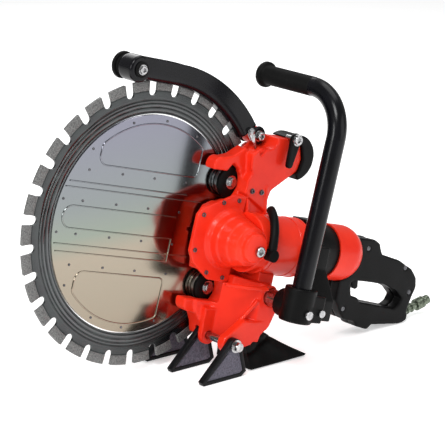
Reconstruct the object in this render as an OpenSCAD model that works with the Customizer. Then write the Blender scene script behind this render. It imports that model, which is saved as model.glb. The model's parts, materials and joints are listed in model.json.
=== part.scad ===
// Hydraulic ring saw: a ring blade driven at its inner edge, with its two-sided
// casting, rollers, bevel drive, motor, guards, handles and folding claws.
// Every module is drawn in the saw frame: the blade turns about Y at the origin,
// X runs rearwards along the motor, Z is up and -Y is the operator's near side.
// place() then pitches the saw nose up, the way it rests on its claws and foot.

/* [Blade] */
// Radius at the tips of the cutting segments
blade_r = 175; // [170:0.5:180]
// Thickness of the steel ring
ring_t = 3.2; // [2.8:0.1:3.6]
// Inner radius of the steel ring
ring_in_r = 135; // [134.6:0.1:136]
// Number of cutting segments
segment_n = 30; // [24:1:36]
// Height of a segment above the ring
segment_h = 12; // [8:0.5:13]
// Thickness of a segment
segment_t = 4.4; // [3.8:0.1:4.6]
// Share of the pitch that a segment fills
segment_share = 0.66; // [0.5:0.01:0.75]

/* [Water disc] */
// Radius of the disc that fills the ring
disc_r = 133.6; // [132:0.1:134]
// Thickness of one disc sheet
sheet_t = 1; // [0.8:0.1:1.1]
// Height of the pressed panels above the sheet
panel_h = 0.5; // [0.3:0.1:0.8]
// Radius of the round side of the two D panels
panel_r = 123; // [115:1:125]

/* [Rollers] */
// Distance of the roller axes from the blade axis
roller_pitch_r = 133.5; // [132:0.5:135]
// Angle of the roller axes above and below the motor line
roller_angle = 30; // [28:0.5:32]
// Radius of a support roller
roller_r = 20; // [18:0.5:20.5]

/* [Motor] */
// Distance of the motor axis from the blade plane
motor_off = 48; // [47:0.5:50]
// Radius of the red gear drum
drum_r = 37; // [35:0.5:38]
// Radius of the rear motor drum
rear_drum_r = 36; // [34:0.5:37]
// Radius of the motor shaft
shaft_r = 8; // [6:0.5:8]

/* [Handles] */
// Radius of the front handle's tube
tube_r = 12; // [11:0.5:13]
// Distance of the front handle's upright from the blade plane
upright_off = 124.5; // [120:0.5:130]
// Thickness of the rear handle across both shells
grip_w = 30; // [28:1:34]

/* [Guard] */
// Outer radius of the blade guard
guard_r = 198; // [194:1:200]
// Width across the guard's two cheeks
guard_w = 26; // [24:1:28]
// Thickness of the guard's sheet
guard_t = 3; // [2:0.5:3.5]

/* [Resting pose] */
// Angle that the saw is pitched nose up when it stands
tilt = 14.6; // [14:0.1:16]

/* [Hidden] */

// Fineness of round surfaces and of the rounds inside a hull
$fn = 96;

// Running clearances
free_gap = 0.3;
fit_gap = 0.05;

// Where the blade axis lies in the resting frame
shift_x = -142.27;
shift_y = 55.75;
shift_z = 188.1;

// Blade
ring_out_r = blade_r - segment_h;
segment_pitch = 360 / segment_n;
segment_start = 9.5;
gullet_r = 5.4;
groove_d = 0.4;

// Water disc
disc_half_t = ring_t / 2 + 0.6;
slot_r = 30;
rivet_r = 1.6;
rivet_h = 0.7;

// Rollers
roller_x = roller_pitch_r * cos(roller_angle);
roller_z = roller_pitch_r * sin(roller_angle);
roller_in = segment_t / 2 + 0.6;
roller_t = 7;
arm_t = 4.5;
roller_out = roller_in + roller_t;
arm_in = roller_out + free_gap + 0.2;
pivot_r = 5;

// Drive
wheel_r = 24.7;
wheel_x = ring_in_r - wheel_r - free_gap;
flange_r = 27.6;
gear_r = 25;
pinion_r = 15;
pinion_x0 = wheel_x + 14;

// Motor line
motor_y = -motor_off;
drum_x0 = 150;
drum_x1 = 211;
body_x1 = 263;
rear_drum_x1 = 321;
rotor_r = 11;
idler_z = -22.4;
gears_x0 = 215;
gears_x1 = 239;

// Casting
plate_in = 6;
plate_out = 24;
cover_out = 37;
dome_out = 91;
gear_end = 42;
lobe_out = 36;
lug_half = 8;
notch_r = 26;
notch_top = 14;
notch_x = 98;
finger_x = 86;

// Front handle
upright_x = 166;
bend_r = 56;
bend_z = 147.6;
upright_z0 = -74;
grip_len = 90;
stub_x = 166;
stub_z = -60;
stub_r = 11;
stub_y0 = -109;
stay_x = 194.02;

// Guard
pivot_x = 146;
pivot_z = 128.6;
latch_x = 130;
latch_z = 132.5;
nose_x = -61;
nose_z = 183;
cheek_r = 171;

// Bores and bolts
bearing_r = 15;
bolt_r = 4;
spool_r = 5.5;
hose_r = 9;
hose_x = 252;
hose_z = -42;
hose_bend_r = 28;
boss_x = 115;
boss_z = -3;
recess_x = 139.5;
recess_z = -33;
banjo_x = 136.2;
banjo_z = -6;
split_off = 33;
handle_screw_at = [[334, 12], [430, -40], [312, -70], [412, -8]];

// Claws and floor
floor_z = -188.1;
claw_x = 114.5;
claw_z = -122;
claw_pin_r = 5;
claw_t = 9;

// Tension lever
lever_x = 179;
lever_z = 134;

// Rear handle
handle_y = motor_y;
trigger_x = 330;
trigger_z = -26;
lock_x = 350;
lock_z = 13;
pin_r = 2.5;
coupler_x = 434;
coupler_z = -74;
coupler_tilt = 65;
coupler_r = 5;

module place() {
    translate([shift_x, shift_y, shift_z])
        rotate([0, tilt, 0])
            children();
}

// Extrudes an outline drawn in X and Z between two Y positions.
module across(y0, y1) {
    translate([0, y1, 0])
        rotate([90, 0, 0])
            linear_extrude(y1 - y0)
                children();
}

// A round bar along Y.
module bar_y(x, z, y0, y1, r) {
    translate([x, y1, z])
        rotate([90, 0, 0])
            cylinder(h = y1 - y0, r = r);
}

// A round bar along X on a given Y and Z.
module bar_x(y, z, x0, x1, r) {
    translate([x0, y, z])
        rotate([0, 90, 0])
            cylinder(h = x1 - x0, r = r);
}

// A hexagon nut or bolt head along Y.
module hex_y(x, z, y0, y1, r) {
    translate([x, y1, z])
        rotate([90, 0, 0])
            cylinder(h = y1 - y0, r = r, $fn = 6);
}

module dot(x, z, r) {
    translate([x, z])
        circle(r = r);
}

// Height of the floor below a point of the saw frame.
function floor_at(x) = (floor_z + x * sin(tilt)) / cos(tilt);

// ---- blade ----

module ring_blade() {
    groove_rs = [137, 143, 147.6, 151.2];
    color("slategray") place()
        difference() {
            rotate([90, 0, 0])
                rotate_extrude($fn = 180)
                    difference() {
                        translate([ring_in_r, -ring_t / 2])
                            square([ring_out_r - ring_in_r, ring_t]);
                        for (r = groove_rs, s = [-1, 1])
                            translate([r - 0.8, s * ring_t / 2 - groove_d])
                                square([1.6, 2 * groove_d]);
                    }
            for (i = [0:segment_n - 1])
                rotate([0, -(segment_start + (i + 0.5) * segment_pitch), 0]) {
                    bar_y(ring_out_r - 0.8, 0, -ring_t, ring_t, gullet_r);
                    translate([ring_out_r - 0.8, -ring_t, -gullet_r])
                        cube([segment_h, 2 * ring_t, 2 * gullet_r]);
                }
        }
}

module diamond_segments() {
    span = segment_pitch * segment_share;
    color("gray") place()
        for (i = [0:segment_n - 1])
            rotate([0, -(segment_start + i * segment_pitch), 0])
                rotate([90, 0, 0])
                    rotate([0, 0, -span / 2])
                        rotate_extrude(angle = span, $fn = 180)
                            translate([ring_out_r, -segment_t / 2])
                                square([segment_h, segment_t]);
}

// ---- water disc ----

// Outline of the disc with the slot that clears the drive wheel.
module disc_outline(r) {
    difference() {
        circle(r = r, $fn = 180);
        dot(wheel_x, 0, slot_r);
        translate([wheel_x, -slot_r])
            square([2 * slot_r, 2 * slot_r]);
    }
}

module near_disc_sheet() {
    panel_far = 85;
    color("lightsteelblue") place() {
        across(-disc_half_t, -disc_half_t + sheet_t)
            disc_outline(disc_r);
        across(-disc_half_t - panel_h, -disc_half_t + sheet_t / 2) {
            for (s = [-1, 1])
                intersection() {
                    circle(r = panel_r, $fn = 180);
                    translate([-panel_far, s > 0 ? 65 : -panel_r])
                        square([2 * panel_far - 15, panel_r - 65]);
                }
            dot(-108.5, 0, 13.5);
            translate([-108.5, -13.5])
                square([158.5, 27]);
            translate([-120, 35])
                square([205, 2]);
            translate([-120, -42])
                square([205, 2]);
        }
    }
}

module far_disc_sheet() {
    color("lightsteelblue") place()
        across(disc_half_t - sheet_t, disc_half_t)
            disc_outline(disc_r);
}

module disc_spacer() {
    inner = disc_half_t - sheet_t;
    color("silver") place()
        across(-inner, inner)
            difference() {
                disc_outline(disc_r - 1);
                translate([-114, 14])
                    square([170, 40]);
                translate([-114, -54])
                    square([170, 40]);
            }
}

module disc_rivets() {
    row_xs = [-97, -46, 4, 54];
    rim_as = [45, 64, 88, 111, 140, 171, 189, 220, 248, 271, 294, 314];
    color("dimgray") place()
        for (side = [-1, 1]) {
            y0 = side < 0 ? -disc_half_t - rivet_h : disc_half_t;
            for (x = row_xs, z = [-57, -20, 20, 57])
                bar_y(x, z, y0, y0 + rivet_h, rivet_r);
            for (a = rim_as)
                bar_y(127.5 * cos(a), 127.5 * sin(a), y0, y0 + rivet_h, rivet_r);
        }
}

// ---- castings ----

// One finger of the arm plate, above the motor line.
module finger_outline() {
    difference() {
        union() {
            dot(finger_x, 86, 11.5);
            polygon([[finger_x, 74.5], [finger_x + 3, 97], [103, 101], [120, 113],
                     [128, 108], [172, 66], [172, 0], [84, 0], [84, 34], [118, 52],
                     [118, 84], [106, 92], [finger_x + 10, 78]]);
        }
        notch_outline();
    }
}

// The open notch in front of a roller, under the casting's finger.
module notch_outline() {
    intersection() {
        dot(notch_x, roller_z, notch_r);
        translate([notch_x - 2 * notch_r, roller_z - 2 * notch_r])
            square([4 * notch_r, 2 * notch_r + notch_top]);
    }
}

// The room that a casting leaves for a roller and the arm that carries it.
module roller_room(s, side) {
    y0 = side < 0 ? -arm_in - arm_t - free_gap : 0;
    y1 = side < 0 ? 0 : arm_in + arm_t + free_gap;
    bar_y(roller_x, s * roller_z, y0, y1, roller_r + 2);
}

module lobe_outline() {
    polygon([[118, 60], [128, 84], [122, 106], [136, 118], [152, 131], [180, 133],
             [198, 127], [205, 110], [202, 94], [166, 66], [160, 40]]);
}

module flare_outline() {
    polygon([[92, -92], [84, -40], [168, -46], [178, -56], [178, -78], [172, -98],
             [154, -118], [128, -130], [108, -124], [104, -112]]);
}

module near_casting() {
    color("orangered") place()
        difference() {
            union() {
                across(-plate_out, -plate_in) {
                    finger_outline();
                    mirror([0, 1])
                        finger_outline();
                }
                across(-split_off, -plate_in)
                    polygon([[84, -40], [80, -22], [80, 26], [84, 34], [118, 52], [160, 66],
                             [162, 20], [174, -20], [174, -60], [96, -60]]);
                across(-66, -split_off)
                    polygon([[149, -64], [174, -64], [174, -30], [149, -30]]);
                across(-lobe_out, -plate_in)
                    lobe_outline();
                guard_lug();
                flare();
                ears();
                bar_x(motor_y, 0, 126, drum_x0, drum_r);
                bar_y(banjo_x, banjo_z, -85, -60, 7.5);
                rear_bridge();
            }
            guard_room();
            for (s = [-1, 1]) {
                roller_room(s, -1);
                across(-plate_out - 12, -plate_in + 1)
                    mirror([0, s < 0 ? 1 : 0])
                        notch_outline();
            }
            bar_y(wheel_x, 0, -12, 1, flange_r + 2);
            bar_y(wheel_x, 0, -27, 0, bearing_r);
            bar_y(wheel_x, 0, -gear_end, -26, gear_r + 2);
            bar_x(motor_y, 0, 100, 141, pinion_r + 3);
            bar_x(motor_y, 0, 130, drum_x1 + 1, bearing_r);
            bar_x(motor_y, 0, drum_x0, drum_x1 + 1, drum_r);
            across(-60, -split_off)
                cover_flange();
            middle_claw_room();
            translate([149.9, -68, -132])
                cube([36, 74.1, 26.1]);
            translate([149.9, -81, -132])
                cube([36, 87, 14.1]);
            latch_room();
            bar_y(claw_x, claw_z, -90, -10, claw_pin_r + fit_gap);
            bar_y(pivot_x, pivot_z, -40, 20, bolt_r);
            bar_y(stub_x, stub_z, -81, -30, stub_r);
            dome_solid();
            bar_y(recess_x, recess_z, -80, -38, 9);
            bar_y(lever_x, lever_z, -41, -28, bolt_r);
        }
}

// The room that the guard's latch turns in.
module latch_room() {
    bar_y(latch_x, latch_z, -guard_w / 2 - 3.6, -guard_w / 2, 25.5);
}

// The wedge below the motor that carries the stub of the front handle.
module flare() {
    intersection() {
        across(-80, -plate_in)
            flare_outline();
        translate([0, 0, -140])
            linear_extrude(110)
                polygon([[80, -6], [80, -26], [112, -30], [150, -76], [184, -80], [184, -6]]);
    }
}

// Ears that hold the near hinge pin of the claws.
module ears() {
    across(-78, -66)
        polygon([[106, -114], [130, -92], [165, -92], [160, -118], [122, -131], [108, -131]]);
    bar_y(claw_x, claw_z, -78, -66, 12);
    bar_y(claw_x, claw_z, -37, -29, 12);
    across(-37, -29)
        polygon([[102, -122], [100, -88], [130, -88], [127, -122]]);
}

// The room that the guard's near cheek and its hardware need beside the lug.
module guard_room() {
    across(-60, -lug_half)
        difference() {
            union() {
                dot(pivot_x, pivot_z, 13.5);
                polygon([[100, 170], [100, 138], [137, 106], [170, 150]]);
            }
            circle(r = cheek_r - 1.5, $fn = 180);
        }
}

// The slot in the near casting in which the middle claw swings.
module middle_claw_room() {
    across(-28.4, -18.6) {
        dot(claw_x, claw_z, 12);
        polygon([[104, -118], [132, -112], [150, -140], [90, -140]]);
    }
}

// The lug between the guard's cheeks.
module guard_lug() {
    across(-plate_in - 1, lug_half)
        difference() {
            union() {
                dot(pivot_x, pivot_z, 11);
                polygon([[pivot_x, 118], [168, 100], [168, 130], [pivot_x, 139]]);
            }
            circle(r = blade_r + 4, $fn = 180);
        }
}

// The web behind the blade that joins the near and far castings.
module rear_bridge() {
    across(-plate_out, 16)
        difference() {
            translate([160, -36])
                square([34, 72]);
            circle(r = blade_r + 4, $fn = 180);
        }
}

module far_casting() {
    color("orangered") place()
        difference() {
            union() {
                across(plate_in, 20) {
                    finger_outline();
                    mirror([0, 1])
                        finger_outline();
                    polygon([[92, -92], [84, -40], [84, 36], [172, 60], [172, -60],
                             [160, -104], [128, -130], [108, -130], [104, -112]]);
                }
                across(16.02, 20)
                    translate([170, -36])
                        square([24, 72]);
                bar_y(claw_x, claw_z, plate_in, 20, 12);
                bar_y(wheel_x, 0, 16, 30, 24);
            }
            for (s = [-1, 1]) {
                roller_room(s, 1);
                bar_y(roller_x, s * roller_z, 0, 30, 8);
            }
            bar_y(wheel_x, 0, -1, 12, flange_r + 2);
            bar_y(wheel_x, 0, 0, 27, bearing_r);
            bar_y(claw_x, claw_z, 0, 30, claw_pin_r);
            across(-1, 16.02)
                difference() {
                    translate([150, -50])
                        square([60, 100]);
                    circle(r = blade_r + 3, $fn = 180);
                }
            across(-1, 16.02)
                lobe_outline();
        }
}

module cover_flange() {
    polygon([[53, -20], [53, 26], [59, 34], [108, 55], [125.5, 55], [125.5, -54],
             [92, -53], [62, -34]]);
}

// The tapered dome of the gear cover, turned about the drive shaft's axis.
module dome_solid() {
    translate([wheel_x, -split_off, 0])
        rotate([90, 0, 0]) {
            cylinder(h = 9, r = 36);
            translate([0, 0, 9])
                cylinder(h = dome_out - split_off - 17, r1 = 33.5, r2 = 23);
            translate([0, 0, dome_out - split_off - 8])
                cylinder(h = 8, r = 18);
        }
}

// Cover over the bevel gears: a tapered dome on a screwed flange.
module gear_cover() {
    color("tomato") place()
        difference() {
            union() {
                across(-cover_out, -split_off)
                    cover_flange();
                dome_solid();
            }
            bar_y(wheel_x, 0, -gear_end, -split_off + 1, gear_r + 1.5);
            bar_x(motor_y, 0, wheel_x, 160, pinion_r + 3);
            bar_y(boss_x, boss_z, -dome_out - 1, -70, bolt_r);
        }
}

module cover_screws() {
    color("dimgray") place() {
        for (p = [[60, -18], [62, 26], [90, 43.5], [114, 48.5], [86, -44], [114, -48.5]])
            bar_y(p[0], p[1], -cover_out - 2.5, -cover_out, 2.8);
        for (x = [134, 150])
            bar_y(x, 62, -lobe_out - 2.5, -lobe_out, 2.8);
    }
}

module casting_bolts() {
    color("silver") place() {
        difference() {
            bar_y(boss_x, boss_z, -dome_out - 5, -dome_out, 7);
            bar_y(boss_x, boss_z, -dome_out - 6, -dome_out - 2, 3.2);
        }
        bar_y(boss_x, boss_z, -dome_out, -70, bolt_r);
        difference() {
            bar_y(recess_x, recess_z, -48, -38, 7);
            bar_y(recess_x, recess_z, -49, -44, 3.2);
        }
        bar_y(lever_x, lever_z, -49, -28, bolt_r);
        bar_y(lever_x, lever_z, -52, -48.3, 7.5);
        for (p = [[182, 22], [182, -22], [188, 120], [160, 108]])
            hex_y(p[0], p[1], 20, 25, 6);
    }
}

// ---- rollers ----

// An arm that carries a roller and reaches back into its casting.
module roller_arm(s, side) {
    y0 = side < 0 ? -arm_in - arm_t : arm_in;
    difference() {
        bar_y(roller_x, s * roller_z, y0, y0 + arm_t, roller_r);
        bar_y(roller_x, s * roller_z, y0 - 1, y0 + arm_t + 1, pivot_r);
    }
}

module near_roller_arms() {
    color("black") place()
        for (s = [-1, 1])
            roller_arm(s, -1);
}

module far_roller_arms() {
    color("black") place()
        for (s = [-1, 1])
            roller_arm(s, 1);
}

// A hardened roller whose raised rim runs beside the groove of the ring.
module roller(s, side) {
    y0 = side < 0 ? -roller_out : roller_in;
    rim = side < 0 ? -roller_in : roller_in - 0.4;
    difference() {
        union() {
            bar_y(roller_x, s * roller_z, y0, y0 + roller_t, roller_r - 2.5);
            bar_y(roller_x, s * roller_z, y0, y0 + roller_t / 2, roller_r - 1);
            bar_y(roller_x, s * roller_z, rim, rim + 0.4, roller_r - 6);
        }
        bar_y(roller_x, s * roller_z, -20, 20, pivot_r + fit_gap);
    }
}

module upper_near_roller() {
    color("darkgray") place()
        roller(1, -1);
}

module upper_far_roller() {
    color("darkgray") place()
        roller(1, 1);
}

module lower_near_roller() {
    color("darkgray") place()
        roller(-1, -1);
}

module lower_far_roller() {
    color("darkgray") place()
        roller(-1, 1);
}

module roller_bolts() {
    tip = roller_in - 0.2;
    head = arm_in + arm_t;
    color("silver") place()
        for (s = [-1, 1], side = [-1, 1]) {
            y0 = side < 0 ? -head : tip;
            bar_y(roller_x, s * roller_z, y0, y0 + head - tip, pivot_r);
            h0 = side < 0 ? -head - 4 : head;
            hex_y(roller_x, s * roller_z, h0, h0 + 4, 6.5);
        }
}

// ---- drive ----

module drive_wheel() {
    color("silver") place()
        difference() {
            union() {
                bar_y(wheel_x, 0, -2.2, 2.2, wheel_r);
                bar_y(wheel_x, 0, -4.6, -2.1, flange_r);
                bar_y(wheel_x, 0, 2.1, 4.6, flange_r);
            }
            bar_y(wheel_x, 0, -6, 6, shaft_r);
        }
}

module drive_shaft() {
    color("gray") place()
        bar_y(wheel_x, 0, -36, 26, shaft_r);
}

module bevel_gear() {
    teeth = 24;
    color("gray") place()
        translate([wheel_x, -28, 0])
            rotate([90, 0, 0])
                difference() {
                    union() {
                        cylinder(h = 5, r = gear_r - 3);
                        translate([0, 0, 5])
                            cylinder(h = 6, r1 = gear_r - 3, r2 = 12);
                    }
                    translate([0, 0, -1])
                        cylinder(h = 20, r = shaft_r);
                    for (i = [0:teeth - 1])
                        rotate([0, 0, i * 360 / teeth])
                            translate([14, -1, 4])
                                rotate([0, 32, 0])
                                    cube([14, 2, 10]);
                }
}

module drive_bearings() {
    color("silver") place()
        for (y0 = [-24, 18])
            difference() {
                bar_y(wheel_x, 0, y0, y0 + 8, bearing_r);
                bar_y(wheel_x, 0, y0 - 1, y0 + 9, shaft_r + fit_gap);
            }
}

module bevel_pinion() {
    teeth = 16;
    color("gray") place()
        translate([139, motor_y, 0])
            rotate([0, -90, 0])
                difference() {
                    union() {
                        cylinder(h = 6, r = pinion_r);
                        translate([0, 0, 6])
                            cylinder(h = 5, r1 = pinion_r, r2 = 11);
                    }
                    translate([0, 0, -1])
                        cylinder(h = 20, r = shaft_r);
                    for (i = [0:teeth - 1])
                        rotate([0, 0, i * 360 / teeth])
                            translate([pinion_r - 2.5, -1, -1])
                                cube([8, 2, 20]);
                }
}

module motor_shaft() {
    color("silver") place()
        bar_x(motor_y, 0, 128, body_x1 - 3, shaft_r);
}

module motor_bearings() {
    color("silver") place()
        for (x0 = [142, 198])
            difference() {
                bar_x(motor_y, 0, x0, x0 + 10, bearing_r);
                bar_x(motor_y, 0, x0 - 1, x0 + 11, shaft_r + fit_gap);
            }
}

module motor_drum() {
    color("orangered") place()
        difference() {
            bar_x(motor_y, 0, drum_x0, drum_x1, drum_r);
            bar_x(motor_y, 0, drum_x0 - 1, drum_x1 + 1, bearing_r);
        }
}

module motor_body() {
    color([0.13, 0.13, 0.13]) place()
        difference() {
            union() {
                bar_x(motor_y, 0, drum_x1, body_x1, rear_drum_r - 2);
                translate([drum_x1 + 3, motor_y - 13, 20])
                    cube([24, 26, 18]);
                translate([drum_x1 + 2, motor_y - 40, -14])
                    cube([26, 30, 24]);
            }
            bar_x(motor_y, 0, drum_x1 - 1, body_x1 - 2, shaft_r + fit_gap);
            bar_x(motor_y, 0, gears_x0 - 1, gears_x1 + 1, rotor_r + free_gap);
            bar_x(motor_y, idler_z, gears_x0 - 1, gears_x1 + 1, rotor_r + free_gap);
            hose_port();
        }
}

// The straight end of the braided hose where it enters the motor.
module hose_port() {
    translate([hose_x, motor_y, hose_z - 0.5])
        cylinder(h = 12, r = hose_r);
}

// A spur gear along X for the gear motor.
module spur(z, x0, x1, phase) {
    teeth = 12;
    difference() {
        bar_x(motor_y, z, x0, x1, rotor_r);
        for (i = [0:teeth - 1])
            translate([x0 - 1, motor_y, z])
                rotate([(i + phase) * 360 / teeth, 0, 0])
                    translate([0, -1, rotor_r - 1.5])
                        cube([x1 - x0 + 2, 2, 4]);
    }
}

module rotor_gear() {
    color("gray") place()
        difference() {
            spur(0, gears_x0, gears_x1, 0);
            bar_x(motor_y, 0, gears_x0 - 1, gears_x1 + 1, shaft_r);
        }
}

module idler_gear() {
    color("gray") place()
        spur(idler_z, gears_x0, gears_x1, 0.5);
}

// The rear drum's round-ended outline, turned about the motor axis.
module rear_drum_solid(grow) {
    round_r = 30;
    r = rear_drum_r + grow;
    translate([body_x1, motor_y, 0])
        rotate([0, 90, 0])
            rotate_extrude()
                intersection() {
                    union() {
                        square([r, rear_drum_x1 - body_x1 - round_r]);
                        square([r - round_r, rear_drum_x1 - body_x1 + grow]);
                        translate([r - round_r, rear_drum_x1 - body_x1 + grow - round_r])
                            circle(r = round_r);
                    }
                    square([r, 90]);
                }
}

module rear_drum() {
    color("orangered") place()
        difference() {
            rear_drum_solid(0);
            bar_x(motor_y, 0, body_x1 - 1, rear_drum_x1 + 1, spool_r + fit_gap);
        }
}

module valve_spool() {
    color("silver") place()
        bar_x(motor_y, 0, 285, 329, spool_r);
}

// ---- rear handle ----

module handle_outline() {
    difference() {
        polygon([[296, 24], [344, 24], [354, 20], [358, 13], [363, 6], [398, 1], [426, -9],
                 [438, -20], [442, -32], [438, -46], [434, -66], [437, -70], [438, -77], [431, -81.7],
                 [424, floor_at(424)], [410, -85], [372, -88], [366, -95], [345, -92],
                 [339, -86],
                 [318, -84], [310, -77], [296, -60], [294, -30]]);
        polygon([[316, -35], [322, -32], [344, -32], [380, -33], [406, -40], [419, -49],
                 [416, -58], [408, -64], [340, -59], [336, -54], [322, -52]]);
    }
}

module handle_rooms() {
    rear_drum_solid(0);
    across(handle_y - 6, handle_y + 6)
        polygon([[321, -52], [321, -12], [343, -12], [351, -34], [347, -46]]);
    across(handle_y - 6, handle_y + 6)
        polygon([[343, 3], [343, 30], [370, 30], [370, 3]]);
    bar_x(motor_y, 0, 320, 335, spool_r + 1);
    at_coupler() {
        translate([0, 0, -6])
            cylinder(h = 11, r = coupler_r);
        translate([0, 0, 4])
            cylinder(h = 30, r = 8.4);
    }
}

module rear_handle_near() {
    color([0.1, 0.1, 0.1]) place()
        difference() {
            across(handle_y - grip_w / 2, handle_y)
                handle_outline();
            handle_rooms();
            handle_holes(3.2);
        }
}

module rear_handle_far() {
    color([0.1, 0.1, 0.1]) place()
        difference() {
            across(handle_y, handle_y + grip_w / 2)
                handle_outline();
            handle_rooms();
            handle_holes(2.2);
        }
}

module handle_holes(r) {
    for (p = handle_screw_at)
        bar_y(p[0], p[1], handle_y - 30, handle_y + 10, r);
    pin_pair();
}

module handle_screws() {
    y0 = handle_y - grip_w / 2;
    color("silver") place()
        for (p = handle_screw_at) {
            bar_y(p[0], p[1], y0, handle_y, 3.2);
            bar_y(p[0], p[1], handle_y, handle_y + 10, 2.2);
        }
}

module trigger() {
    color([0.15, 0.15, 0.15]) place()
        across(handle_y - 5.5, handle_y + 5.5)
            difference() {
                polygon([[325, -19], [336, -19], [338, -32], [340, -42], [336, -44.5],
                         [332, -42], [325, -34]]);
                dot(trigger_x, trigger_z, pin_r + fit_gap);
            }
}

module trigger_lock() {
    color([0.15, 0.15, 0.15]) place()
        across(handle_y - 5.5, handle_y + 5.5)
            difference() {
                polygon([[345, 6], [345, 22], [353, 21], [364, 12], [366, 7], [358, 5]]);
                dot(lock_x, lock_z, pin_r + fit_gap);
            }
}

module pin_pair() {
    bar_y(trigger_x, trigger_z, handle_y - 10, handle_y + 10, pin_r);
    bar_y(lock_x, lock_z, handle_y - 10, handle_y + 10, pin_r);
}

module handle_pins() {
    color("silver") place()
        pin_pair();
}

// Moves a shape drawn along Z to the hose end at the rear of the handle.
module at_coupler() {
    translate([coupler_x, handle_y, coupler_z])
        rotate([0, coupler_tilt, 0])
            children();
}

module hose_coupler() {
    color("darkgray") place()
        at_coupler() {
            translate([0, 0, -6])
                cylinder(h = 10, r = coupler_r);
            translate([0, 0, 4])
                rotate([0, 0, 30])
                    cylinder(h = 8, r = 8, $fn = 6);
            translate([0, 0, 12])
                cylinder(h = 44, r = 5);
            translate([0, 0, 23.5])
                cylinder(h = 3, r = 6.5);
            translate([0, 0, 52])
                cylinder(h = 6, r = 6.2);
        }
}

module coupler_sleeve() {
    color("gray") place()
        at_coupler()
            difference() {
                translate([0, 0, 34])
                    cylinder(h = 14, r = 8);
                translate([0, 0, 33])
                    cylinder(h = 16, r = 5 + fit_gap);
            }
}

// ---- hoses ----

// The hose from the motor's port to the rear handle: down, round and back.
module braided_hose() {
    sweep_a = 85;
    color("darkolivegreen") place() {
        hose_port();
        translate([hose_x + hose_bend_r, motor_y, hose_z]) {
            rotate([90, 0, 0])
                rotate([0, 0, 180])
                    rotate_extrude(angle = sweep_a)
                        translate([hose_bend_r, 0])
                            circle(r = hose_r - fit_gap);
            rotate([0, 180 - sweep_a, 0])
                translate([hose_bend_r, 0, 0])
                    mirror([0, 0, 1])
                        translate([0, 0, -0.5])
                            cylinder(h = 30, r = hose_r);
        }
    }
}

// The water hose, bent over the gear drum down to its banjo end.
module water_hose() {
    bend = 46.6;
    lean = 23.4;
    color([0.08, 0.08, 0.08]) place() {
        translate([banjo_x + bend * sin(lean), motor_y, 0])
            rotate([0, 0, -lean])
                rotate([0, 90, 0])
                    rotate([0, 0, 195])
                        rotate_extrude(angle = 75)
                            translate([bend, 0])
                                circle(r = 5.5);
        bar_y(banjo_x, banjo_z, -97, -85, 7.5);
    }
}

// ---- front handle ----

module handle_stay() {
    color([0.12, 0.12, 0.12]) place()
        translate([stay_x, 0, 0])
            rotate([90, 0, 90])
                linear_extrude(36)
                    polygon([[-88, 12], [-96, 12], [-97, -16], [-122, -50], [-122, -76],
                             [-114, -76], [-114, -54], [-88, -18]]);
}

module stub_bar() {
    color("silver") place()
        bar_y(stub_x, stub_z, stub_y0, -30, stub_r);
}

// The block that grips the stub below and the upright of the front handle above.
module handle_clamp() {
    color([0.1, 0.1, 0.1]) place()
        difference() {
            union() {
                translate([upright_x, -upright_off, -78])
                    cylinder(h = 42, r = 20);
                bar_y(stub_x, stub_z, -upright_off, -98, 18);
                translate([upright_x, -upright_off - 18, -75])
                    cube([stay_x - 0.02 - upright_x, 36, 33]);
            }
            translate([upright_x, -upright_off, upright_z0 - free_gap])
                cylinder(h = 60, r = tube_r + fit_gap);
            bar_y(stub_x, stub_z, stub_y0, -90, stub_r);
            translate([upright_x + 10, -upright_off - 1, -90])
                cube([60, 2, 60]);
        }
}

module clamp_bolts() {
    near = -upright_off - 18;
    far = -upright_off + 18;
    color("silver") place() {
        bar_y(upright_x, -65, -upright_off - 24, -upright_off - 20, 5.5);
        bar_y(189, -62, near - 4, near, 4.7);
        hex_y(189, -62, far, far + 4, 4.7);
    }
}

module front_handle_tube() {
    top_y = -upright_off + bend_r;
    color([0.08, 0.08, 0.08]) place() {
        translate([upright_x, -upright_off, upright_z0])
            cylinder(h = bend_z - upright_z0 + 0.5, r = tube_r);
        translate([upright_x, top_y, bend_z])
            rotate([0, 0, 90])
                rotate([90, 0, 0])
                    rotate([0, 0, 90])
                        rotate_extrude(angle = 90)
                            translate([bend_r, 0])
                                circle(r = tube_r - fit_gap);
        at_grip()
            translate([0, 0, -0.5])
                cylinder(h = grip_len, r = tube_r - 3);
    }
}

// Moves a shape drawn along Z onto the front handle's level grip.
module at_grip() {
    translate([upright_x, -upright_off + bend_r, bend_z + bend_r])
        rotate([-90, 0, 0])
            children();
}

module front_grip() {
    color([0.05, 0.05, 0.05]) place()
        at_grip()
            difference() {
                union() {
                    cylinder(h = grip_len, r = tube_r);
                    translate([0, 0, grip_len - 7])
                        cylinder(h = 8, r = 16.3);
                }
                translate([0, 0, -1])
                    cylinder(h = grip_len + 1, r = tube_r - 3);
            }
}

// ---- guard ----

// A band of the guard between two radii: an arc and the straight nose ahead of it.
module guard_band(r0, r1) {
    a0 = 45;
    difference() {
        union() {
            intersection() {
                circle(r = r1, $fn = 180);
                polygon([[0, 0], [260 * cos(a0), 260 * sin(a0)], [260, 260], [0, 260]]);
            }
            translate([nose_x, 0])
                square([-nose_x + 0.01, r1]);
        }
        circle(r = r0, $fn = 180);
        translate([-200, -10])
            square([200, r0 + 10]);
    }
}

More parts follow.
